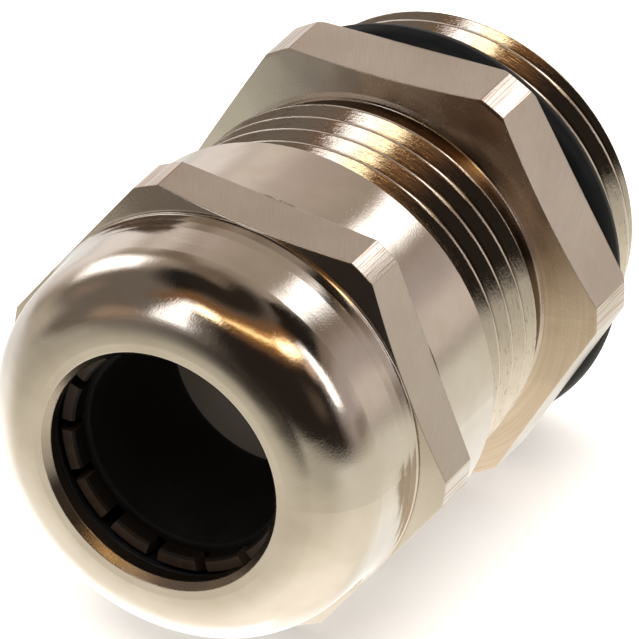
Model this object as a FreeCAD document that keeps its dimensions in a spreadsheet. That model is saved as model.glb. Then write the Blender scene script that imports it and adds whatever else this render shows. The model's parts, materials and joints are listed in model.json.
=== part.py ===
import FreeCAD, Part
import math
import os
import Sketcher

# Cable gland: gland body with a hexagon flange, domed compression nut, O-ring, slip ring,
# clamping insert (a collar and its fingers) and a tubular rubber seal.
# Each piece is drawn about its own Z axis: rear is -Z, the connection thread's end, and
# front is +Z, the dome's end. All are then laid down, so the dome points to -Y and the
# connection thread to +Y. The origin is the centre of the flange's rear seating face.

os.makedirs("parts", exist_ok=True)
doc = FreeCAD.newDocument("cable_gland")

# Alias, value, meaning. Lengths in mm, angles in degrees, heights along Z.
# A value in quotes is a formula of earlier aliases.
DIMENSIONS = [
    # shared
    ("pitch", 1.411, "thread pitch, 18 threads per inch"),
    ("groove_depth", 0.70, "radial depth of a thread cutter's section"),
    ("groove_flare", 0.5874, "growth of a groove's half width over that depth"),
    ("thread_major", 10.20, "outer thread, crest radius"),
    ("thread_minor", 9.58, "outer thread, root radius"),
    ("thread_cutter", "thread_minor + groove_depth", "radius the outer thread's cutter reaches"),
    ("groove_root_half", 0.12, "outer thread, half width of the root flat"),
    ("groove_top_half", "groove_root_half + groove_flare", "half width at the cutter's radius"),
    ("across_flats_half", 11.0, "half of the width across flats"),
    ("corner_turned", 12.30, "radius the hexagon corners are turned to"),
    ("hex_blank", 15.0, "radius outside which the hexagon cutter ends"),
    # gland body
    ("body_rear", -5.75, "rear end of the connection thread"),
    ("thread_chamfer", 0.55, "chamfer on the body's two thread ends"),
    ("rear_thread_start", -1.95, "first full diameter behind the O-ring's neck"),
    ("ring_groove", 9.40, "radius of the neck the O-ring sits on"),
    ("ring_groove_end", -1.80, "rear end of that neck"),
    ("flange_break", 0.15, "small break on the flange's rear edge"),
    ("flange_front", 3.26, "front edge of the flange's corners"),
    ("flange_face_turned", 12.15, "radius where the flange's front face starts"),
    ("flange_face_start", 3.33, "height where the flange's front face starts"),
    ("neck_shoulder", 9.93, "foot radius of the flange's coned front face"),
    ("neck_shoulder_top", 3.96, "height of that foot"),
    ("neck", 9.56, "thread relief radius in front of the flange"),
    ("neck_start", 4.10, "start of the thread relief"),
    ("neck_end", 5.35, "end of the thread relief"),
    ("front_thread_start", 5.77, "first full diameter of the front thread"),
    ("body_front", 17.60, "front end of the body"),
    ("seat_bore", 8.75, "bore that holds the insert"),
    ("seat_floor", 15.05, "floor of that bore"),
    ("cable_bore", 7.20, "cable bore through the body"),
    ("bore_chamfer", 0.40, "chamfer on the cable bore's rear edge"),
    ("front_helix_turn", -130.0, "turn of the front groove's starting section"),
    ("front_helix_start", 4.3995, "groove centre where it starts, front thread"),
    ("front_helix_height", 13.91, "length of the front groove"),
    ("rear_helix_start", -6.563, "groove centre at angle zero, rear thread"),
    ("rear_helix_height", 4.90, "length of the rear groove"),
    ("flange_cut_height", 3.95, "height the flange's flats are cut up to"),
    ("flats_overcut", 0.5, "how far the flange's cut starts behind its rear face"),
    # dome nut
    ("skirt_rear", 12.0, "rear end of the nut"),
    ("skirt_outer", 11.04, "radius of the nut's skirt"),
    ("skirt_break", 0.18, "break on the skirt's rear edge"),
    ("nut_hex_rear", 17.0, "rear edge of the nut's hexagon"),
    ("nut_hex_front", 19.62, "front edge of the nut's turned corners"),
    ("nut_hex_foot", 11.10, "foot radius of the coned hexagon front"),
    ("nut_hex_foot_top", 20.00, "height of that foot"),
    ("bead_groove", 10.90, "radius of the fine groove behind the bead"),
    ("bead_bottom", 20.04, "rear edge of the bead"),
    ("bead_top", 20.22, "front edge of the bead"),
    ("bead_outer", 11.02, "radius of the bead"),
    ("bead_break", 0.05, "height of the slopes to the bead's full radius"),
    ("dome_root", 10.96, "radius of the dome in front of the bead"),
    ("dome_root_top", 20.26, "height where the dome starts"),
    ("root_flare", 10.875, "radius part way along the dome's flared root"),
    ("root_flare_top", 20.72, "height of that radius"),
    ("dome_waist", 10.815, "radius where the flared root ends"),
    ("dome_waist_top", 21.30, "height where the flared root ends"),
    ("dome_shoulder", 10.75, "radius of the dome's shoulder"),
    ("dome_shoulder_top", 22.60, "height of the dome's shoulder"),
    ("nose_taper", 0.25, "loss of radius from shoulder to front face"),
    ("nose_rim", "dome_shoulder - nose_taper", "radius of the front edge before rounding"),
    ("nose_radius", 3.60, "radius of the rounded nose"),
    ("mouth_front", 26.80, "front face of the nut"),
    ("mouth_radius", 6.63, "mouth radius at the front face"),
    ("lip_front", 26.42, "front edge of the lip's land"),
    ("lip_radius", 6.30, "radius of the lip's land"),
    ("lip_rear", 25.75, "inner shoulder behind the lip"),
    ("cone_front", 7.62, "front radius of the nut's inner cone"),
    ("cone_rear_height", 21.30, "rear end of the inner cone"),
    ("nut_minor", 9.70, "nut thread, crest radius"),
    ("nut_relief", 10.35, "nut thread relief radius"),
    ("nut_relief_rear", 18.95, "rear end of the nut's thread relief"),
    ("nut_relief_front", 20.05, "front end of the nut's thread relief"),
    ("nut_relief_cone", 20.65, "end of the cone in front of the relief"),
    ("rear_cone_length", 0.5, "length of the cone behind the relief"),
    ("nut_entry", 10.42, "radius of the nut's entry chamfer"),
    ("nut_entry_top", 12.75, "height of the nut's entry chamfer"),
    ("nut_major", 10.32, "nut thread, root radius"),
    ("nut_cutter_inner", "nut_major - groove_depth", "radius the nut's cutter starts at"),
    ("nut_root_half", 0.0943, "half width of the nut groove at its root"),
    ("nut_inner_half", "nut_root_half + groove_flare", "half width at its cutter's inner radius"),
    ("nut_helix_start", 11.258, "groove centre at angle zero, nut thread"),
    ("nut_helix_height", 8.45, "length of the nut groove"),
    ("nut_turn", -7.3, "angle of the nut's hexagon against the flange's"),
    # slip ring
    ("slip_front", 25.70, "front face of the slip ring"),
    ("slip_front_outer", 7.59, "front outer radius of the slip ring"),
    ("slip_rear", 22.00, "rear end of the slip ring"),
    ("slip_rear_outer", 9.31, "rear outer radius of the slip ring"),
    ("slip_rear_inner", 8.09, "rear inner radius of the slip ring"),
    ("slip_inner", 6.50, "inner radius of the slip ring"),
    ("slip_land", 25.40, "rear end of the slip ring's inner land"),
    # clamping insert
    ("collar_bottom", 15.10, "rear face of the collar and of the seal"),
    ("collar_top", 16.38, "front face of the collar"),
    ("collar_inner", 7.55, "inner radius of the collar"),
    ("collar_outer", 8.70, "outer radius of the collar"),
    ("collar_break", 0.15, "breaks on the collar's outer edges"),
    ("finger_root", 16.50, "root of each finger"),
    ("finger_inner", "collar_inner", "inner radius of a finger at its root"),
    ("finger_outer", 8.45, "outer radius of a finger at its root"),
    ("finger_straight_in", 18.00, "end of the finger's straight inner face"),
    ("finger_straight_out", 18.90, "end of the finger's straight outer face"),
    ("finger_mid_outer", 7.60, "outer radius part way up the taper"),
    ("finger_mid", 21.70, "height of that point"),
    ("finger_upper_outer", 7.10, "outer radius near the tip"),
    ("finger_upper", 23.25, "height of that point"),
    ("finger_tip_outer", 6.58, "outer radius of the tip"),
    ("finger_tip", 25.00, "front face of the tip"),
    ("finger_tip_break", 0.12, "break on the tip's edges"),
    ("finger_tip_inner", 5.80, "inner radius of the tip's hook"),
    ("hook_rear", 24.05, "rear face of the hook at its inner edge"),
    ("hook_rear_out", 23.97, "rear face of the hook at its outer edge"),
    ("finger_throat", 6.30, "inner radius of the finger behind its hook"),
    ("finger_throat_start", 23.30, "height where that radius starts"),
    ("finger_count", 14, "number of fingers"),
    ("finger_arc", 20.0, "angle each finger covers"),
    ("finger_phase", 244.86, "direction of the first finger"),
    # seal
    ("seal_inner", 5.50, "bore radius of the seal"),
    ("seal_outer", 7.50, "outer radius of the seal"),
    ("seal_straight", 17.90, "end of the seal's straight part"),
    ("seal_nose", 6.25, "outer radius at the nose"),
    ("seal_nose_start", 23.20, "height where the nose starts"),
    ("seal_tip", 6.15, "outer radius at the front end"),
    ("seal_front", 23.90, "front end of the seal"),
    ("seal_break", 0.06, "breaks on the seal's bore edges"),
    # O-ring
    ("ring_middle", 10.42, "radius of the O-ring's centre line"),
    ("ring_height", -0.97, "height of the O-ring's centre line"),
    ("ring_section", 0.95, "radius of the O-ring's section"),
]

ORIGIN = FreeCAD.Vector(0, 0, 0)
X_AXIS = FreeCAD.Vector(1, 0, 0)
Y_AXIS = FreeCAD.Vector(0, 1, 0)
Z_AXIS = FreeCAD.Vector(0, 0, 1)
numbers = {}


# ---------------------------------------------------------------- formulas and the sheet
# A formula is a sum of aliases and numbers, with spaces around each sign.
def amount(formula):
    """The number a formula such as 'thread_major - thread_chamfer' stands for."""
    total, sign = 0.0, 1.0
    for word in formula.split():
        if word == "+":
            sign = 1.0
        elif word == "-":
            sign = -1.0
        elif word in numbers:
            total += sign * numbers[word]
        else:
            total += sign * float(word)
    return total


def bound(formula):
    """The same formula as an expression that reads the sheet."""
    return " ".join("dims." + word if word in numbers else word for word in formula.split())


def fill_sheet():
    sheet = doc.addObject("Spreadsheet::Sheet", "dims")
    for row, (alias, value, words) in enumerate(DIMENSIONS, start=1):
        derived = isinstance(value, str)
        sheet.set("A%d" % row, words)
        sheet.set("B%d" % row, "=" + value if derived else str(value))
        sheet.setAlias("B%d" % row, alias)
        numbers[alias] = amount(value) if derived else float(value)
    doc.recompute()


def bind(feature, quantity, formula):
    """Sets a feature's property and ties it to the sheet."""
    setattr(feature, quantity, amount(formula))
    feature.setExpression(quantity, bound(formula))


def bind_constraint(sketch, name, formula, kind, *elements):
    """Adds a named dimension to a sketch and ties it to the sheet."""
    index = sketch.addConstraint(Sketcher.Constraint(kind, *elements, amount(formula)))
    sketch.renameConstraint(index, name)
    sketch.setExpression("Constraints." + name, bound(formula))


# ---------------------------------------------------------------- sketches
# In constraints, element -1 point 1 is the sketch's origin; a line's points are
# 1 (start) and 2 (end), and a circle's centre is point 3.
def new_body(label):
    body = doc.addObject("PartDesign::Body", label)
    body.Label = label
    return body


def attached_sketch(body, name, role):
    """A sketch on one of the body's origin planes, such as 'XZ_Plane'."""
    plane = next(item for item in body.Origin.OriginFeatures if item.Role == role)
    sketch = body.newObject("Sketcher::SketchObject", name)
    sketch.AttachmentSupport = [(plane, "")]
    sketch.MapMode = "FlatFace"
    return sketch


def closed_lines(sketch, points):
    count = len(points)
    for i in range(count):
        sketch.addGeometry(Part.LineSegment(points[i], points[(i + 1) % count]), False)
    for i in range(count):
        sketch.addConstraint(Sketcher.Constraint("Coincident", i, 2, (i + 1) % count, 1))


def centred_circle(sketch, radius, construction):
    circle = sketch.addGeometry(Part.Circle(ORIGIN, Z_AXIS, radius), construction)
    sketch.addConstraint(Sketcher.Constraint("Coincident", circle, 3, -1, 1))
    return circle


def outline(body, name, corners):
    """A closed outline in the body's XZ plane; each corner is (radius, height) as formulas."""
    sketch = attached_sketch(body, name, "XZ_Plane")
    closed_lines(sketch, [FreeCAD.Vector(amount(r), amount(z), 0) for r, z in corners])
    for i, (r, z) in enumerate(corners):
        bind_constraint(sketch, "r_%d" % i, r, "DistanceX", -1, 1, i, 1)
        bind_constraint(sketch, "z_%d" % i, z, "DistanceY", -1, 1, i, 1)
    return sketch


# ---------------------------------------------------------------- features
def finish(body, feature, sketch):
    sketch.Visibility = False
    body.Tip = feature
    return feature


def revolved(body, name, sketch, angle=None):
    """Revolves a sketch about the body's Z axis, fully or through an angle centred on X."""
    feature = body.newObject("PartDesign::Revolution", name)
    feature.Profile = sketch
    feature.ReferenceAxis = (sketch, ["V_Axis"])
    if angle is None:
        feature.Angle = 360
    else:
        feature.Midplane = True
        bind(feature, "Angle", angle)
    return finish(body, feature, sketch)


def turned(body, name, corners, angle=None):
    return revolved(body, name, outline(body, name + "_outline", corners), angle)


def current_volume(body):
    doc.recompute()
    return body.Shape.Volume


def require_removed(body, feature, before, least):
    """Stops if a cut took away less than it should, in mm3."""
    taken = before - current_volume(body)
    if taken < least:
        raise RuntimeError("%s removed only %.3f mm3" % (feature.Label, taken))


def hexagon_cut(body, name, start, length, least, turn="0"):
    """Cuts six flats: takes away everything between a hexagon and a larger circle."""
    before = current_volume(body)
    sketch = attached_sketch(body, name + "_outline", "XY_Plane")
    sketch.AttachmentOffset = FreeCAD.Placement(
        FreeCAD.Vector(0, 0, amount(start)), FreeCAD.Rotation(Z_AXIS, amount(turn)))
    sketch.setExpression("AttachmentOffset.Base.z", bound(start))

    corner = amount("across_flats_half") / math.cos(math.radians(30))
    angles = [math.radians(60 * k) for k in range(6)]
    closed_lines(sketch, [FreeCAD.Vector(corner * math.cos(angle), corner * math.sin(angle), 0)
                          for angle in angles])
    guide = centred_circle(sketch, corner, True)
    for k in range(6):
        sketch.addConstraint(Sketcher.Constraint("PointOnObject", k, 1, guide))
    for k in range(5):
        sketch.addConstraint(Sketcher.Constraint("Equal", k, k + 1))
    sketch.addConstraint(Sketcher.Constraint("Horizontal", 1))
    bind_constraint(sketch, "half_flats", "across_flats_half", "DistanceY", -1, 1, 1, 1)
    rim = centred_circle(sketch, amount("hex_blank"), False)
    bind_constraint(sketch, "blank", "hex_blank", "Radius", rim)

    pocket = body.newObject("PartDesign::Pocket", name)
    pocket.Profile = sketch
    bind(pocket, "Length", length)
    pocket.Reversed = True  # cuts forward, along +Z
    finish(body, pocket, sketch)
    require_removed(body, pocket, before, least)


def thread_cut(body, name, centre, inner, outer, height, least, turn="0"):
    """A right-hand helical groove; inner and outer are (radius, half width) of its section."""
    before = current_volume(body)
    (inner_radius, inner_half), (outer_radius, outer_half) = inner, outer
    sketch = outline(body, name + "_section", [
        (inner_radius, centre + " - " + inner_half),
        (outer_radius, centre + " - " + outer_half),
        (outer_radius, centre + " + " + outer_half),
        (inner_radius, centre + " + " + inner_half),
    ])
    # The sketch's own Y axis is the body's Z axis.
    sketch.AttachmentOffset = FreeCAD.Placement(ORIGIN, FreeCAD.Rotation(Y_AXIS, amount(turn)))
    sketch.setExpression("AttachmentOffset.Rotation.Angle", bound(turn))

    helix = body.newObject("PartDesign::SubtractiveHelix", name)
    helix.Profile = sketch
    helix.ReferenceAxis = (sketch, ["V_Axis"])
    helix.Mode = 0  # defined by pitch and height
    bind(helix, "Pitch", "pitch")
    bind(helix, "Height", height)
    helix.LeftHanded = False
    helix.Reversed = False
    finish(body, helix, sketch)
    require_removed(body, helix, before, least)


# ---------------------------------------------------------------- pieces
def make_gland_body():
    body = new_body("gland_body")
    turned(body, "body_blank", [
        ("cable_bore + bore_chamfer", "body_rear"),
        ("thread_major - thread_chamfer", "body_rear"),
        ("thread_major", "body_rear + thread_chamfer"),
        ("thread_major", "rear_thread_start"),
        ("ring_groove", "ring_groove_end"),
        ("ring_groove", "0"),
        ("corner_turned - flange_break", "0"),
        ("corner_turned", "flange_break"),
        ("corner_turned", "flange_front"),
        ("flange_face_turned", "flange_face_start"),
        ("neck_shoulder", "neck_shoulder_top"),
        ("neck", "neck_start"),
        ("neck", "neck_end"),
        ("thread_major", "front_thread_start"),
        ("thread_major", "body_front - thread_chamfer"),
        ("thread_major - thread_chamfer", "body_front"),
        ("seat_bore", "body_front"),
        ("seat_bore", "seat_floor"),
        ("cable_bore", "seat_floor"),
        ("cable_bore", "body_rear + bore_chamfer"),
    ])
    hexagon_cut(body, "flange_flats", start="0 - flats_overcut",
                length="flange_cut_height + flats_overcut", least=50)
    root = ("thread_minor", "groove_root_half")
    top = ("thread_cutter", "groove_top_half")
    thread_cut(body, "front_thread", "front_helix_start", inner=root, outer=top,
               height="front_helix_height", least=100, turn="front_helix_turn")
    thread_cut(body, "connection_thread", "rear_helix_start", inner=root, outer=top,
               height="rear_helix_height", least=20)
    return body


def round_nose(body, blank):
    """Rounds the outer edge of the nut's front face."""
    edges = []
    for i, edge in enumerate(blank.Shape.Edges, start=1):
        curve = edge.Curve
        if (curve.TypeId == "Part::GeomCircle"
                and abs(curve.Radius - amount("nose_rim")) < 1e-3
                and abs(curve.Center.z - amount("mouth_front")) < 1e-3):
            edges.append("Edge%d" % i)
    nose = body.newObject("PartDesign::Fillet", "nose_round")
    nose.Base = (blank, edges)
    bind(nose, "Radius", "nose_radius")
    body.Tip = nose


def make_dome_nut():
    body = new_body("dome_nut")
    blank = turned(body, "nut_blank", [
        # outside, rear to front
        ("nut_entry", "skirt_rear"),
        ("skirt_outer - skirt_break", "skirt_rear"),
        ("skirt_outer", "skirt_rear + skirt_break"),
        ("skirt_outer", "nut_hex_rear"),
        ("corner_turned", "nut_hex_rear"),
        ("corner_turned", "nut_hex_front"),
        ("nut_hex_foot", "nut_hex_foot_top"),
        ("bead_groove", "bead_bottom"),
        ("bead_outer", "bead_bottom + bead_break"),
        ("bead_outer", "bead_top - bead_break"),
        ("dome_root", "dome_root_top"),
        ("root_flare", "root_flare_top"),
        ("dome_waist", "dome_waist_top"),
        ("dome_shoulder", "dome_shoulder_top"),
        ("nose_rim", "mouth_front"),
        # inside, front to rear
        ("mouth_radius", "mouth_front"),
        ("lip_radius", "lip_front"),
        ("lip_radius", "lip_rear"),
        ("cone_front", "lip_rear"),
        ("nut_minor", "cone_rear_height"),
        ("nut_minor", "nut_relief_cone"),
        ("nut_relief", "nut_relief_front"),
        ("nut_relief", "nut_relief_rear"),
        ("nut_minor", "nut_relief_rear - rear_cone_length"),
        ("nut_minor", "nut_entry_top"),
    ])
    doc.recompute()
    round_nose(body, blank)
    hexagon_cut(body, "nut_flats", start="nut_hex_rear",
                length="dome_root_top - nut_hex_rear", least=50, turn="nut_turn")
    thread_cut(body, "nut_thread", "nut_helix_start",
               inner=("nut_cutter_inner", "nut_inner_half"),
               outer=("nut_major", "nut_root_half"),
               height="nut_helix_height", least=60)
    return body


def make_slip_ring():
    body = new_body("slip_ring")
    turned(body, "slip_ring_turned", [
        ("slip_inner", "slip_land"),
        ("slip_rear_inner", "slip_rear"),
        ("slip_rear_outer", "slip_rear"),
        ("slip_front_outer", "slip_front"),
        ("slip_inner", "slip_front"),
    ])
    return body


def make_clamp_collar():
    body = new_body("clamp_collar")
    turned(body, "collar_turned", [
        ("collar_inner", "collar_bottom"),
        ("collar_outer - collar_break", "collar_bottom"),
        ("collar_outer", "collar_bottom + collar_break"),
        ("collar_outer", "collar_top - collar_break"),
        ("collar_outer - collar_break", "collar_top"),
        ("collar_inner", "collar_top"),
    ])
    return body


def make_finger(number):
    """One finger of the insert: a narrow sector with an inward hook at its front end."""
    body = new_body("finger_%02d" % number)
    turned(body, "finger_sector_%02d" % number, [
        ("finger_inner", "finger_root"),
        ("finger_outer", "finger_root"),
        ("finger_outer", "finger_straight_out"),
        ("finger_mid_outer", "finger_mid"),
        ("finger_upper_outer", "finger_upper"),
        ("finger_tip_outer", "finger_tip - finger_tip_break"),
        ("finger_tip_outer - finger_tip_break", "finger_tip"),
        ("finger_tip_inner + finger_tip_break", "finger_tip"),
        ("finger_tip_inner", "finger_tip - finger_tip_break"),
        ("finger_tip_inner", "hook_rear"),
        ("finger_throat", "hook_rear_out"),
        ("finger_throat", "finger_throat_start"),
        ("finger_inner", "finger_straight_in"),
    ], angle="finger_arc")
    return body


def make_cable_seal():
    body = new_body("cable_seal")
    turned(body, "seal_turned", [
        ("seal_inner + seal_break", "collar_bottom"),
        ("seal_outer", "collar_bottom"),
        ("seal_outer", "seal_straight"),
        ("seal_nose", "seal_nose_start"),
        ("seal_tip", "seal_front"),
        ("seal_inner + seal_break", "seal_front"),
        ("seal_inner", "seal_front - seal_break"),
        ("seal_inner", "collar_bottom + seal_break"),
    ])
    return body


def make_o_ring():
    body = new_body("o_ring")
    sketch = attached_sketch(body, "ring_section_outline", "XZ_Plane")
    centre = FreeCAD.Vector(amount("ring_middle"), amount("ring_height"), 0)
    sketch.addGeometry(Part.Circle(centre, Z_AXIS, amount("ring_section")), False)
    bind_constraint(sketch, "ring_middle", "ring_middle", "DistanceX", -1, 1, 0, 3)
    bind_constraint(sketch, "ring_height", "ring_height", "DistanceY", -1, 1, 0, 3)
    bind_constraint(sketch, "ring_section", "ring_section", "Radius", 0)
    revolved(body, "ring_turned", sketch)
    return body


# ---------------------------------------------------------------- assembly and export
def lay_down(body, turn=0.0):
    """Turns a piece about its own axis, then lays it down with its front end towards -Y."""
    body.Placement = FreeCAD.Placement(
        ORIGIN, FreeCAD.Rotation(X_AXIS, 90) * FreeCAD.Rotation(Z_AXIS, turn))


def check_document(pieces):
    for item in doc.Objects:
        if "Invalid" in item.State or "Error" in item.State:
            raise RuntimeError("%s did not recompute: %s" % (item.Name, item.State))
    for piece in pieces:
        shape = piece.Shape
        if shape.isNull() or not shape.isValid() or len(shape.Solids) != 1:
            raise RuntimeError("%s has no single valid solid" % piece.Label)


fill_sheet()
finger_count = int(numbers["finger_count"])
gland_body = make_gland_body()
dome_nut = make_dome_nut()
slip_ring = make_slip_ring()
clamp_collar = make_clamp_collar()
fingers = [make_finger(k + 1) for k in range(finger_count)]
cable_seal = make_cable_seal()
o_ring = make_o_ring()

full_rings = [gland_body, dome_nut, slip_ring, clamp_collar, cable_seal, o_ring]
for body in full_rings:
    lay_down(body)
for k, finger in enumerate(fingers):
    lay_down(finger, numbers["finger_phase"] + 360.0 * k / finger_count)
doc.recompute()

pieces = full_rings + fingers
check_document(pieces)
for piece in pieces:
    piece.Shape.exportStep(os.path.join("parts", piece.Label + ".step"))
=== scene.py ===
# A cable gland lying along the Y axis, its dome nut to the front (-Y). The body and the nut are
# nickel plated; plastic fingers close a rubber seal in on the cable, and an O-ring lies behind
# the flange. "Height" is the distance along the axis towards -Y. The scene is in metres;
# radii and heights on the pieces are in millimetres.
import json
import math
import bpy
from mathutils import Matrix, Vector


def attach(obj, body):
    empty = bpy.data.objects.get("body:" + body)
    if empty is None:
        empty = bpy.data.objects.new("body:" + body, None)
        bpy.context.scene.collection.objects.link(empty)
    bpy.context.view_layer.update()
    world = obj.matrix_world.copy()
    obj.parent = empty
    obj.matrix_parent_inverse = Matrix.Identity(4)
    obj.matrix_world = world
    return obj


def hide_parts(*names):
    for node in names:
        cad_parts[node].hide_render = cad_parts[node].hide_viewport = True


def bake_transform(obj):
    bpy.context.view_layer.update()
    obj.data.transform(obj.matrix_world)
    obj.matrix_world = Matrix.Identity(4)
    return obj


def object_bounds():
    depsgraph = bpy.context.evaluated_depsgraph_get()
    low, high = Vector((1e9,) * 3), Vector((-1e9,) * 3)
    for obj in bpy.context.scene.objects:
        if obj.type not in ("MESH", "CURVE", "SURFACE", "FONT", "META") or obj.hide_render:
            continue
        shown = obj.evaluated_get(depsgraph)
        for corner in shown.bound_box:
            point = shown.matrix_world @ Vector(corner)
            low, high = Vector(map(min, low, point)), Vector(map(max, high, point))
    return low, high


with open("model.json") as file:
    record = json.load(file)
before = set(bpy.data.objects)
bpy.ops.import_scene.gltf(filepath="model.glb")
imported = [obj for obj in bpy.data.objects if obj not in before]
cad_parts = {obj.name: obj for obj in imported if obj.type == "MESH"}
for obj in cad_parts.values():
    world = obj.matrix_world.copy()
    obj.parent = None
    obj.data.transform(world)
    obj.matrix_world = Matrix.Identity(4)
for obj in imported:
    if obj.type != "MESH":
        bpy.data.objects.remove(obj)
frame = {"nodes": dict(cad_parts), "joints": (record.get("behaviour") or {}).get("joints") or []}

from types import SimpleNamespace

import bpy
import bmesh
from mathutils import Matrix, Vector

cad_lo, cad_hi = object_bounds()
scene = bpy.context.scene
scene.view_settings.view_transform = "Standard"
scene.view_settings.look = "None"
scene.view_settings.exposure = 0.0
scene.view_settings.gamma = 1.0


# ---------------------------------------------------------------- shader trees
class Nodes:
    """Short calls for building a shader tree. Each returns an output socket, except new."""

    def __init__(self, tree):
        self.tree = tree
        tree.nodes.clear()

    def new(self, kind, **props):
        node = self.tree.nodes.new(kind)
        for key, value in props.items():
            setattr(node, key, value)
        return node

    def put(self, socket, value):
        """Link a socket, or set a value; a colour may leave out its alpha."""
        if isinstance(value, bpy.types.NodeSocket):
            self.tree.links.new(value, socket)
            return
        if isinstance(value, tuple) and len(value) == 3 and len(socket.default_value) == 4:
            value += (1.0,)
        socket.default_value = value

    def math(self, operation, *values):
        node = self.new("ShaderNodeMath", operation=operation)
        for socket, value in zip(node.inputs, values):
            self.put(socket, value)
        return node.outputs[0]

    def times(self, total, *factors):
        for factor in factors:
            total = self.math("MULTIPLY", total, factor)
        return total

    def plus(self, total, *terms):
        for term in terms:
            total = self.math("ADD", total, term)
        return total

    def within(self, value, low=None, high=None):
        """1 where the value lies between the limits given, 0 elsewhere."""
        masks = []
        if low is not None:
            masks.append(self.math("GREATER_THAN", value, low))
        if high is not None:
            masks.append(self.math("LESS_THAN", value, high))
        return self.times(*masks)

    def step(self, value, between, to=(0.0, 1.0), kind="SMOOTHSTEP"):
        """Carry the range `between` over to the range `to`."""
        node = self.new("ShaderNodeMapRange", interpolation_type=kind)
        self.put(node.inputs["Value"], value)
        for key, number in zip(("From Min", "From Max", "To Min", "To Max"), (*between, *to)):
            node.inputs[key].default_value = number
        return node.outputs[0]

    def blend(self, kind, first, fac, start, end):
        node = self.new("ShaderNodeMix", data_type=kind)
        node.clamp_factor = True
        self.put(node.inputs[0], fac)
        self.put(node.inputs[first], start)
        self.put(node.inputs[first + 1], end)
        return node

    def mix(self, fac, start, end):
        """Blend two colours."""
        return self.blend("RGBA", 6, fac, start, end).outputs[2]

    def lerp(self, fac, start, end):
        """Blend two numbers."""
        return self.blend("FLOAT", 2, fac, start, end).outputs[0]

    def xyz(self, vector):
        node = self.new("ShaderNodeSeparateXYZ")
        self.put(node.inputs[0], vector)
        return node.outputs[0], node.outputs[1], node.outputs[2]

    def vec(self, *parts):
        node = self.new("ShaderNodeCombineXYZ")
        for socket, part in zip(node.inputs, parts):
            self.put(socket, part)
        return node.outputs[0]

    def stretched(self, *pairs):
        """A vector of three (value, scale) pairs."""
        return self.vec(*(self.times(value, scale) for value, scale in pairs))

    def noise(self, vector, scale=1.0, detail=2.0, rough=0.5, w=None):
        """Noise in 3D, or in 4D when w is given."""
        node = self.new("ShaderNodeTexNoise", noise_dimensions="3D" if w is None else "4D")
        self.put(node.inputs["Vector"], vector)
        if w is not None:
            self.put(node.inputs["W"], w)
        node.inputs["Scale"].default_value = scale
        node.inputs["Detail"].default_value = detail
        node.inputs["Roughness"].default_value = rough
        return node.outputs["Fac"]

    def strokes(self, vector, direction):
        """Sparse fine scratches that all run one way."""
        across_scale, along_scale = 11000.0, 650.0     # noise cells per metre
        along = Vector(direction).normalized()
        side = along.orthogonal().normalized()
        axes = ((side, across_scale), (along.cross(side), across_scale), (along, along_scale))
        parts = []
        for axis, scale in axes:
            dot = self.new("ShaderNodeVectorMath", operation="DOT_PRODUCT")
            self.put(dot.inputs[0], vector)
            self.put(dot.inputs[1], tuple(axis * scale))
            parts.append(dot.outputs["Value"])
        return self.step(self.noise(self.vec(*parts), rough=0.6), between=(0.60, 0.70))

    def bump(self, height, normal=None):
        """A normal from a height in micrometres."""
        node = self.new("ShaderNodeBump")
        node.inputs["Strength"].default_value = 1.0
        node.inputs["Distance"].default_value = 1e-6
        self.put(node.inputs["Height"], height)
        if normal is not None:
            self.put(node.inputs["Normal"], normal)
        return node.outputs[0]

    def principled(self, inputs):
        """End a material in a Principled shader with these inputs."""
        node = self.new("ShaderNodeBsdfPrincipled")
        for key, value in inputs.items():
            self.put(node.inputs[key], value)
        self.put(self.new("ShaderNodeOutputMaterial").inputs[0], node.outputs[0])


def material(name):
    mat = bpy.data.materials.new(name)
    mat.use_nodes = True
    return mat, Nodes(mat.node_tree)


def surface(tree):
    """Where a point lies on a piece: place, distance from the axis (m), unit direction round
    the axis (cx, cz) and height (mm); and its normal."""
    coords = tree.new("ShaderNodeTexCoord")
    place = coords.outputs["Object"]
    x, y, z = tree.xyz(place)
    reach = tree.math("SQRT", tree.plus(tree.times(x, x), tree.times(z, z)))
    reach = tree.math("MAXIMUM", reach, 1e-5)
    return SimpleNamespace(
        place=place, x=x, y=y, z=z, reach=reach, height=tree.times(y, -1000.0),
        cx=tree.math("DIVIDE", x, reach), cz=tree.math("DIVIDE", z, reach),
        normal=tree.xyz(coords.outputs["Normal"]))


def outwardness(tree, at):
    """How far the surface faces away from the axis, -1 to 1."""
    return tree.plus(tree.times(at.normal[0], at.cx), tree.times(at.normal[2], at.cz))


# ---------------------------------------------------------------- nickel
def nickel_zones(tree, at, radius, out, front):
    """Masks for the differently worked faces, told apart by radius, height and facing."""
    height, within, times = at.height, tree.within, tree.times
    flat_radii = (10.93, 12.27)
    side = within(tree.math("ABSOLUTE", front), high=0.3)
    hexagons = tree.math("MAXIMUM", within(height, low=16.99, high=20.0),
                         within(height, low=-0.02, high=3.9))
    threaded = tree.math("MAXIMUM", within(height, low=4.2, high=17.7),
                         within(height, high=-1.9))
    return SimpleNamespace(
        flat=times(side, hexagons, within(radius, *flat_radii)),
        corner=times(side, within(radius, low=flat_radii[1])),
        thread=times(within(out, low=0.3), within(radius, high=10.25), threaded),
        bore=times(within(out, high=-0.2), within(height, high=17.7)),
        lip=times(within(out, high=-0.88), within(height, low=20.0)),
        bevelled=times(within(out, low=-0.88, high=-0.3), within(height, low=26.3)),
        rear=times(within(front, high=-0.5), within(height, low=11.9, high=12.9)),
        cone=times(within(front, low=0.5), within(height, low=3.2, high=4.2),
                   within(radius, low=9.7)),
        endface=times(within(front, low=0.93), within(height, low=26.0)))


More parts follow.
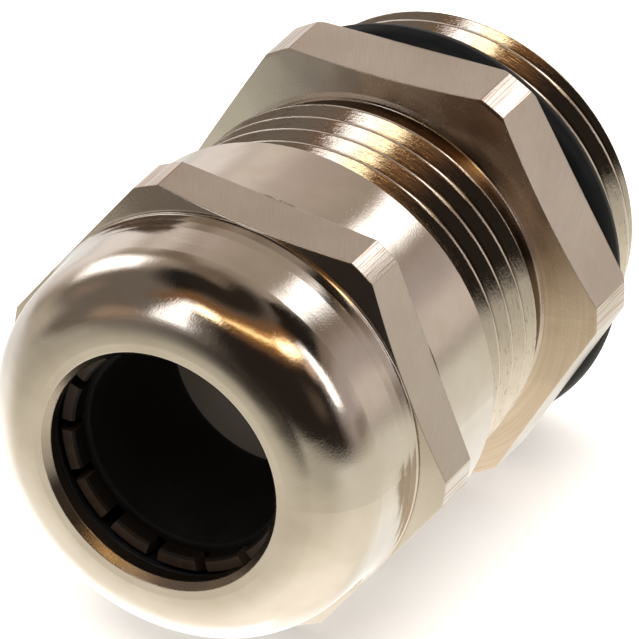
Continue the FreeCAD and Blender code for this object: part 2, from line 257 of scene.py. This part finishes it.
def nickel_plating():
    """Bright nickel over brass from the lathe and the mill: rings of fine tool marks on every
    lathe-cut face, fine lines along the axis on the milled flats, a dull bore, and painted shade
    and light: a darkened bore and lip, darker thread roots, a shaded flange cone with a painted
    highlight on one side, and a darker colour in the plating's own reflections."""
    mat, tree = material("nickel_plating")
    times, step, noise = tree.times, tree.step, tree.noise
    at = surface(tree)
    radius = times(at.reach, 1000.0)       # mm
    out = outwardness(tree, at)
    front = times(at.normal[1], -1.0)      # how far it faces along -Y
    zone = nickel_zones(tree, at, radius, out, front)

    # tool marks: each coordinate is paired with its noise scale
    rings = noise(tree.stretched((at.cx, 2.2), (at.height, 11.0), (at.cz, 2.2)),
                  detail=3.0, rough=0.65, w=times(radius, 11.0))
    shreds = noise(tree.stretched((at.cx, 19.0), (at.height, 10.0), (at.cz, 19.0)),
                   detail=3.0, rough=0.7, w=times(radius, 10.0))
    across = tree.math("SUBTRACT", times(at.z, at.normal[0]), times(at.x, at.normal[2]))
    lean = 0.52                            # sideways shift of the flats' lines along the axis
    slant = tree.math("SUBTRACT", across, times(at.y, times(zone.flat, lean)))
    lines = noise(tree.stretched((slant, 12000.0), (at.y, 500.0), (out, 40.0)),
                  detail=3.0, rough=0.65)
    ribs = noise(tree.stretched((at.x, 8000.0), (at.y, 120.0), (at.z, 8000.0)),
                 detail=3.0, rough=0.7)
    grain = noise(at.place, scale=9500.0, rough=0.65)
    waves = noise(at.place, scale=420.0, detail=1.0, rough=0.4)
    tint = noise(at.place, scale=260.0, detail=3.0, rough=0.6)
    scratches = tree.plus(tree.strokes(at.place, direction=(0.62, 0.45, 0.64)),
                          tree.plus(tree.strokes(at.place, direction=(-0.70, 0.35, 0.62)),
                                    tree.strokes(at.place, direction=(0.15, 0.93, 0.33))))

    smooth = tree.math("SUBTRACT", 1.0, tree.math("MAXIMUM", zone.flat, zone.corner))
    # (pattern, depth in micrometres)
    reliefs = (
        (rings, times(smooth, tree.lerp(zone.thread, 1.1, 3.2))),
        (shreds, times(zone.thread, 8.0)),
        (lines, times(zone.flat, 1.7)),
        (ribs, times(zone.corner, 3.0)),
        (grain, tree.lerp(zone.flat, tree.lerp(zone.endface, 2.6, 2.2), 2.0)),
        (waves, times(smooth, 30.0)),
        (scratches, times(smooth, 0.6)),
    )
    relief = tree.plus(*(times(pattern, depth) for pattern, depth in reliefs))

    rough = 0.095
    patchy = noise(at.place, scale=450.0, detail=1.0)
    # (zone, roughness), each laid over the ones before
    for mask, value in (
        (zone.thread, 0.065), (zone.flat, 0.31), (zone.corner, 0.17), (zone.endface, 0.20),
        (zone.lip, 0.45), (zone.bevelled, 0.24), (zone.rear, 0.42),
        (zone.cone, step(patchy, between=(0.3, 0.7), to=(0.18, 0.30))),
        (zone.bore, 0.55),
    ):
        rough = tree.lerp(mask, rough, value)
    rough = tree.plus(rough, step(tint, between=(0.3, 0.7), to=(-0.015, 0.03)),
                      step(grain, between=(0.35, 0.7), to=(-0.01, 0.025)))

    # painted shade and light on the flange cone: two darker browns following the tool rings in
    # its recess, and a pale painted highlight on its -X side
    cone_painted_shading = tree.mix(step(rings, between=(0.3, 0.7)), (0.76, 0.65, 0.53), (0.68, 0.56, 0.44))
    cone_painted_shading = tree.mix(step(at.cx, between=(-0.42, 0.02), to=(1.0, 0.0)),
                      cone_painted_shading, (0.97, 0.95, 0.89))
    glossy = tree.new("ShaderNodeLightPath").outputs["Is Glossy Ray"]
    color = (0.815, 0.765, 0.700)
    # (cover, colour), each laid over the ones before
    for cover, value in (
        (step(tint, between=(0.35, 0.68)), (0.765, 0.705, 0.635)),
        (times(zone.flat, step(lines, between=(0.38, 0.70), to=(0.0, 0.5))),
         (0.69, 0.64, 0.585)),
        (times(zone.corner, step(ribs, between=(0.50, 0.62), to=(0.0, 0.85))),
         (0.50, 0.34, 0.27)),
        # painted shade: the thread roots darkened to a deep brown
        (times(zone.thread, step(radius, between=(9.60, 9.75), to=(0.78, 0.0))),  # roots
         (0.16, 0.11, 0.075)),
        (times(zone.thread, step(shreds, between=(0.55, 0.68), to=(0.0, 0.5))),
         (0.36, 0.25, 0.165)),
        # painted shade inside the mouth: the lip land near black, the inner bevel darker and
        # warmer
        (times(zone.lip, 0.9), (0.10, 0.095, 0.095)),
        (times(zone.bevelled, 0.9), (0.50, 0.44, 0.37)),
        (zone.cone, cone_painted_shading),
        # painted reflection: the rear-facing faces between heights 11.9 and 12.9 mm darkened to
        # a bronze, so the flange cone mirrors a warm tone
        (times(zone.rear, 0.9), (0.55, 0.40, 0.26)),
        # painted shade: the bore darkened to a dark grey
        (times(zone.bore, 0.95), (0.30, 0.292, 0.29)),
        # painted shade: in the plating's own reflections its colour turns dark brown, darkening
        # the recesses between its faces
        (times(glossy, 0.52), (0.20, 0.11, 0.05)),
    ):
        color = tree.mix(cover, color, value)

    bevel = tree.new("ShaderNodeBevel", samples=6)
    bevel.inputs["Radius"].default_value = 0.00008
    tree.principled({
        "Metallic": tree.lerp(zone.bore, 1.0, 0.75),
        "Base Color": color,
        "Roughness": rough,
        "Normal": tree.bump(relief, bevel.outputs[0]),
    })
    return mat


# ---------------------------------------------------------------- plastic and rubber
def moulded(name, dark, light, rough, grain_scale, grain_height, specular,
            flow=0.0, rings=0.0, inner_shade=0.0):
    """Moulded plastic or rubber: a mottled colour, fine grain, and a soft uneven sheen.
    flow: strength of pale streaks along the axis; rings: depth of lines round it (micrometres);
    inner_shade: how far faces towards the axis are darkened."""
    mat, tree = material(name)
    times, step, noise = tree.times, tree.step, tree.noise
    at = surface(tree)
    grain = noise(at.place, scale=grain_scale, detail=3.0, rough=0.6)
    cloud = noise(at.place, scale=350.0, detail=3.0, rough=0.6)
    streak = noise(tree.stretched((at.cx, 14.0), (at.height, 0.35), (at.cz, 14.0)), rough=0.6)

    streak_gain, grain_gain = 1.35, 1.8      # brightness against the light colour
    color = tree.mix(step(cloud, between=(0.3, 0.7)), dark, light)
    color = tree.mix(times(step(streak, between=(0.4, 0.7)), flow),
                     color, tuple(part * streak_gain for part in light))
    color = tree.mix(step(grain, between=(0.62, 0.8), to=(0.0, 0.35)),
                     color, tuple(part * grain_gain for part in light))
    if inner_shade:
        inner = tree.within(outwardness(tree, at), high=-0.25)
        color = tree.mix(times(inner, inner_shade), color, (0.0, 0.0, 0.0))

    cloud_height = 6.0
    relief = tree.plus(times(grain, grain_height), times(cloud, cloud_height))
    if rings:
        line = noise(tree.stretched((at.cx, 1.5), (at.height, 8.0), (at.cz, 1.5)), rough=0.6)
        relief = tree.plus(relief, times(line, rings))
    tree.principled({
        "Base Color": color,
        "Roughness": tree.plus(step(grain, between=(0.3, 0.7), to=(-0.05, 0.07)), rough),
        "Specular IOR Level": specular,
        "Normal": tree.bump(relief),
    })
    return mat


nickel = nickel_plating()
insert_plastic = moulded(
    "insert_plastic", dark=(0.036, 0.024, 0.017), light=(0.052, 0.036, 0.027), rough=0.52,
    grain_scale=9000.0, grain_height=1.6, specular=0.28, flow=0.3, inner_shade=0.88)
ring_plastic = moulded(
    "slip_ring_plastic", dark=(0.012, 0.012, 0.013), light=(0.020, 0.020, 0.022), rough=0.38,
    grain_scale=12000.0, grain_height=1.0, specular=0.4, flow=0.2)
seal_rubber = moulded(
    "seal_rubber", dark=(0.0045, 0.0044, 0.0044), light=(0.0075, 0.0072, 0.0070), rough=0.66,
    grain_scale=8000.0, grain_height=2.6, specular=0.16, flow=0.2)
ring_rubber = moulded(
    "o_ring_rubber", dark=(0.0034, 0.0042, 0.0050), light=(0.0058, 0.0070, 0.0082), rough=0.42,
    grain_scale=11000.0, grain_height=1.6, specular=0.17, rings=1.2)

CAD_SHARP, RUBBER_SHARP = math.radians(24), math.radians(48)     # edges kept crisp
CAD_MATERIALS = {
    "gland_body": nickel,
    "dome_nut": nickel,
    "clamp_collar": insert_plastic,
    "slip_ring": ring_plastic,
    "o_ring": ring_rubber,
}
for name, node in frame["nodes"].items():
    if name.startswith("finger"):
        mat = insert_plastic
    else:
        mat = CAD_MATERIALS.get(name, seal_rubber)
    node.data.materials.clear()
    node.data.materials.append(mat)
    node.data.shade_smooth()
    node.data.set_sharp_from_angle(angle=CAD_SHARP)


# ---------------------------------------------------------------- rubber pieces
def point(radius, angle, height):
    """Radius and height in mm, angle in radians, to the shared frame in metres."""
    return Vector((radius * math.cos(angle), -height, radius * math.sin(angle))) * 0.001


def link(name, data):
    piece = bpy.data.objects.new(name, data)
    scene.collection.objects.link(piece)
    return piece


def rubber_piece(name, grid, closed, mat):
    """A mesh from rings of points: grid[i][j] is point j of ring i; every ring is a closed loop.
    closed joins the last ring to the first, otherwise both ends are capped."""
    mesh = bpy.data.meshes.new(name)
    bm = bmesh.new()
    rows = [[bm.verts.new(place) for place in ring] for ring in grid]
    count = len(rows[0])
    for i in range(len(rows) if closed else len(rows) - 1):
        first, second = rows[i], rows[(i + 1) % len(rows)]
        for j in range(count):
            k = (j + 1) % count
            bm.faces.new((first[j], first[k], second[k], second[j]))
    if not closed:
        bm.faces.new(rows[0][::-1])
        bm.faces.new(rows[-1])
    bmesh.ops.recalc_face_normals(bm, faces=bm.faces)
    bm.to_mesh(mesh)
    bm.free()
    mesh.shade_smooth()
    mesh.set_sharp_from_angle(angle=RUBBER_SHARP)
    mesh.materials.append(mat)
    return link(name, mesh)


def o_ring_grid():
    """A round section with the fine line its mould leaves round the outside and the inside,
    flattened a little where it lies on the flange."""
    section, middle, seat = 0.95, 10.42, -0.97     # section radius, its centre's radius, height
    flattening = 0.012
    flash_height, flash_width = 0.022, 0.045
    around, section_points = 240, 72
    grid = []
    for i in range(around):
        angle = math.tau * i / around
        wobble = 0.006 * math.sin(5 * angle + 1.3) + 0.004 * math.sin(11 * angle + 0.4)
        ring = []
        for j in range(section_points):
            turn = math.tau * j / section_points
            off = min(abs(math.sin(turn / 2)), abs(math.cos(turn / 2)))
            flash = flash_height * math.exp(-(2 * off / flash_width) ** 2)
            radius = section + flash + wobble * max(0.0, math.cos(turn))
            height = min(seat + section - flattening, seat + radius * math.sin(turn))
            ring.append(point(middle + radius * math.cos(turn), angle, height))
        grid.append(ring)
    return grid


o_ring = rubber_piece("o_ring_rubber", o_ring_grid(), closed=True, mat=ring_rubber)
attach(o_ring, "gland_body")
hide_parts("o_ring")


def seal_profile():
    """The seal's section as (radius, height), from the rear outer corner round the outside,
    over the front and back along the inside."""
    inner, outer, front = 5.5, 7.5, 23.9
    rear_round, rear_centre = 0.15, 15.25       # rear corners: rounding, height of its centre
    shoulder, nose = (outer, 17.9), (6.25, 23.2)   # the two ends of the outer taper
    outer_round, inner_round = 0.26, 0.16       # front corners

    def arc(centre_radius, centre_height, rounding, start, end, steps):
        turns = [math.radians(start + (end - start) * k / steps) for k in range(steps + 1)]
        return [(centre_radius + rounding * math.cos(turn),
                 centre_height + rounding * math.sin(turn)) for turn in turns]

    def run(start, end, steps):
        """The points between two ends, without the ends."""
        return [(start[0] + (end[0] - start[0]) * k / steps,
                 start[1] + (end[1] - start[1]) * k / steps) for k in range(1, steps)]

    return [
        *arc(outer - rear_round, rear_centre, rear_round, -90, 0, steps=4),
        *run((outer, rear_centre), shoulder, steps=9),
        shoulder,
        *run(shoulder, nose, steps=12),
        nose,
        *arc(nose[0] - 0.32, front - outer_round, outer_round, 8, 90, steps=6),
        *arc(inner + inner_round, front - inner_round, inner_round, 90, 180, steps=5),
        *run((inner, front - inner_round), (inner, rear_centre), steps=24),
        *arc(inner + rear_round, rear_centre, rear_round, 180, 270, steps=4),
    ]


def tongue_profile(profile):
    """The seal's section drawn in a little, less along the inside."""
    inside_limit, inside_inset, outside_inset = 5.75, 0.03, 0.055
    tongue = []
    for k, (radius, height) in enumerate(profile):
        before, after = Vector(profile[k - 1]), Vector(profile[(k + 1) % len(profile)])
        along = (after - before).normalized()
        inset = inside_inset if radius < inside_limit else outside_inset
        tongue.append((radius - along.y * inset, height + along.x * inset))
    return tongue


# cable seal: one strip of rubber behind each finger
SEAM_GAP = 0.0004                         # radians, at each end of a strip
TONGUE_STEPS = (0.0002, 0.030, 0.060)     # radians past the strip's nominal end
profile = seal_profile()
tongue = tongue_profile(profile)
bends = sorted((joint for joint in frame["joints"] if joint["name"].startswith("finger")),
               key=lambda joint: joint["name"])
half = math.pi / len(bends)
for number, joint in enumerate(bends, start=1):
    where = Vector(joint["pos_m"])
    toward = math.atan2(where.z, where.x)
    stations = [(toward + (half - SEAM_GAP) * (i / 5.0 - 1.0), profile) for i in range(11)]
    # a thin tongue that reaches into the next strip
    stations += [(toward + half + step, tongue) for step in TONGUE_STEPS]
    grid = [[point(radius, angle, height) for radius, height in outline]
            for angle, outline in stations]
    strip = rubber_piece("seal_strip_%02d" % number, grid, closed=False, mat=seal_rubber)
    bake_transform(strip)
    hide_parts("cable_seal")


# ---------------------------------------------------------------- camera
def add_camera():
    data = bpy.data.cameras.new("camera")
    camera = link("camera", data)
    scene.camera = camera
    back = Vector((0.4022, -0.7608, 0.5094))       # from the gland towards the camera
    up = back.cross(Vector((0.8813, 0.4724, 0.0096))).normalized()
    back.normalize()
    right = up.cross(back).normalized()
    pose = Matrix((right, up, back)).transposed().to_4x4()
    pose.translation = (0.2193, -0.4248, 0.2778)
    camera.matrix_world = pose
    data.sensor_width = 36.0
    data.lens = 608.225352
    data.clip_start = 0.01
    data.clip_end = 10.0


# ---------------------------------------------------------------- floor
def add_floor():
    """A faintly glowing white sheet just under the gland."""
    half_size, gap = 1.5, 0.0001
    mesh = bpy.data.meshes.new("floor")
    bm = bmesh.new()
    bmesh.ops.create_grid(bm, x_segments=1, y_segments=1, size=half_size)
    bm.to_mesh(mesh)
    bm.free()
    floor = link("floor", mesh)
    floor.location = (0, 0, cad_lo.z - gap)
    mat, tree = material("floor_white")
    paper = tree.noise(tree.new("ShaderNodeTexCoord").outputs["Object"],
                       scale=900.0, detail=3.0, rough=0.6)
    tree.principled({
        "Base Color": tree.mix(tree.step(paper, between=(0.3, 0.7)),
                               (0.90, 0.895, 0.885), (0.93, 0.925, 0.915)),
        "Roughness": 0.9,
        "Emission Color": (1.0, 0.99, 0.975, 1.0),
        "Emission Strength": 0.42,
    })
    mesh.materials.append(mat)
    floor.visible_glossy = False


# ---------------------------------------------------------------- studio
# The room as the metal sees it: a pale table below, a dim warm room above,
# four white panels, one long warm lamp, and a dark card round the camera.
# Azimuth 0 is towards -Y and grows towards +X; elevation is the height above the horizon.
# Each patch is a soft-edged rectangle, laid over the ones before:
# (azimuth, half size, softness), (elevation, half size, softness) in degrees, colour[, strength]
ROOM = (0.16, 0.13, 0.105)
ROOM_PATCHES = (
    ((180, 80, 14), (25, 36, 10), (0.36, 0.29, 0.23)),      # wall behind, left and right
    ((-160, 22, 12), (30, 10, 8), (0.52, 0.43, 0.37)),
    ((-146, 9, 6), (24, 7, 5), (0.70, 0.60, 0.53)),
    ((-139, 8, 6), (44, 12, 6), (0.20, 0.145, 0.105)),
    ((126, 22, 8), (31, 5, 4), (0.22, 0.165, 0.13)),
    ((125, 30, 12), (12, 14, 7), (0.42, 0.35, 0.32)),       # low pinkish wall, right
    ((140, 17, 10), (4, 9, 6), (0.64, 0.55, 0.48)),
    ((-146, 32, 14), (4, 11, 6), (0.86, 0.78, 0.73)),       # pale low wall, left
    ((-86, 16, 10), (-3, 10, 7), (0.48, 0.42, 0.34)),       # wall, left
    ((-80, 8, 6), (22, 8, 6), (0.24, 0.18, 0.14)),
    ((116, 12, 8), (1, 5, 4), (0.25, 0.205, 0.17)),
    ((-40, 8, 6), (10, 7, 5), (0.34, 0.24, 0.17)),
    ((0, 181, 1), (90, 22, 8), (0.024, 0.018, 0.013)),      # ceiling
    ((-147, 25, 14), (70, 14, 8), (0.17, 0.125, 0.09)),     # ceiling behind left
    ((-75, 38, 10), (66, 9, 6), (0.018, 0.015, 0.012)),
    ((121, 30, 6), (50, 14, 4), (0.014, 0.010, 0.008)),
    ((82, 10, 6), (22, 16, 8), (0.38, 0.31, 0.29)),
    ((38, 46, 9), (18, 25, 7), (0.020, 0.015, 0.012)),      # dark card by the camera
    ((62, 8, 6), (19, 7, 5), (0.085, 0.06, 0.042)),
    ((28, 70, 12), (53, 13, 6), (0.19, 0.085, 0.03)),       # lamp's warm glow
    ((34, 28, 10), (53, 5, 3), (0.62, 0.30, 0.10)),         # lamp, between its ends
    ((34, 32, 8), (52.5, 1.8, 1.3), (2.1, 1.4, 0.64)),
    ((-10, 10, 5), (50, 6, 3), (0.70, 0.40, 0.19)),         # lamp, left part
    ((-10, 8, 4), (48.5, 5, 3), (3.2, 2.65, 1.70)),
    ((68, 17, 8), (51, 6.5, 3), (0.85, 0.42, 0.15)),        # lamp, right part
    ((70, 14, 7), (50, 4.5, 2.5), (3.1, 2.45, 1.45)),
    ((-23, 6, 3), (32, 19, 7), (1.9, 1.8, 1.75)),           # narrow panel in front
    ((-112, 11, 7), (30, 13, 7), (2.3, 2.2, 2.15)),         # panel left
    ((83, 8, 5), (38, 6, 4), (0.58, 0.40, 0.30)),
    ((94, 6, 3), (33, 16, 5), (2.2, 2.1, 2.05)),            # panel right
    ((158, 8, 5), (38, 6, 5), (3.0, 2.9, 2.85)),            # panel behind right
)
# the table from straight down (0) to the horizon (1): place, colour
TABLE = (
    (0.0, (1.25, 1.15, 1.01)), (0.33, (1.12, 1.03, 0.89)), (0.50, (0.86, 0.79, 0.65)),
    (0.67, (0.62, 0.555, 0.44)), (0.78, (0.46, 0.42, 0.33)), (1.0, (0.42, 0.385, 0.32)),
)
TABLE_PATCHES = (
    ((-128, 42, 30), (-55, 36, 12), (1.6, 1.58, 1.52)),
    ((-128, 32, 24), (-12, 16, 9), (0.86, 0.83, 0.80)),
    ((115, 55, 20), (-24, 16, 10), (0.84, 0.79, 0.68), 0.7),
    ((120, 60, 20), (-44, 10, 8), (0.97, 0.90, 0.76), 0.8),
    ((174, 22, 12), (-38, 13, 8), (1.02, 1.0, 0.95), 0.8),
    ((-52, 22, 12), (-44, 10, 8), (1.08, 1.0, 0.87), 0.7),
)
HORIZON_PATCHES = (
    ((-24, 11, 9), (-6, 9, 6), (0.13, 0.115, 0.10), 0.7),
    ((-1, 17, 8), (-6, 13, 6), (0.026, 0.020, 0.016)),      # the card's foot
)


def add_studio():
    world = bpy.data.worlds.new("studio")
    scene.world = world
    world.use_nodes = True
    tree = Nodes(world.node_tree)
    x, y, z = tree.xyz(tree.new("ShaderNodeTexCoord").outputs["Generated"])
    degrees = 180.0 / math.pi
    azimuth = tree.times(tree.math("ARCTAN2", x, tree.times(y, -1.0)), degrees)
    elevation = tree.times(tree.math("ARCSINE", z), degrees)

    def fade(offset, half_size, soft):
        return tree.step(tree.math("ABSOLUTE", offset),
                         between=(half_size - soft, half_size + soft), to=(1.0, 0.0))

    def paint(base, patches):
        for (turn, *width), (rise, *tall), colour, *strength in patches:
            aside = tree.math("WRAP", tree.math("SUBTRACT", azimuth, turn), 180.0, -180.0)
            above = tree.math("SUBTRACT", elevation, rise)
            cover = tree.times(fade(aside, *width), fade(above, *tall), *strength)
            base = tree.mix(cover, base, colour)
        return base

    ramp = tree.new("ShaderNodeValToRGB")
    ramp.color_ramp.interpolation = "LINEAR"
    stops = ramp.color_ramp.elements
    while len(stops) < len(TABLE):
        stops.new(0.5)
    for k, (place, colour) in enumerate(TABLE):
        stops[k].position = place
        stops[k].color = (*colour, 1.0)
    tree.put(ramp.inputs[0], tree.step(elevation, between=(-90.0, 0.0), kind="LINEAR"))

    whole = tree.mix(tree.step(elevation, between=(-12.0, -1.5)),
                     paint(ramp.outputs[0], TABLE_PATCHES), paint(ROOM, ROOM_PATCHES))
    whole = paint(whole, HORIZON_PATCHES)
    # the camera itself sees plain white
    seen = tree.new("ShaderNodeLightPath").outputs["Is Camera Ray"]
    whole = tree.mix(seen, whole, (1.0, 1.0, 1.0))
    background = tree.new("ShaderNodeBackground")
    tree.put(background.inputs["Color"], whole)
    background.inputs["Strength"].default_value = 1.0
    tree.put(tree.new("ShaderNodeOutputWorld").inputs[0], background.outputs[0])


def add_top_light():
    """A wide disk above the gland, aimed at the origin."""
    place = Vector((-0.05, -0.05, 0.55))
    data = bpy.data.lights.new("top_light", "AREA")
    data.shape = "DISK"
    data.size = 0.9
    data.energy = 6.5
    data.color = (1.0, 0.985, 0.96)
    light = link("top_light", data)
    light.location = place
    light.rotation_euler = (-place).to_track_quat("-Z", "Y").to_euler()
    light.visible_glossy = False


add_camera()
add_floor()
add_studio()
add_top_light()
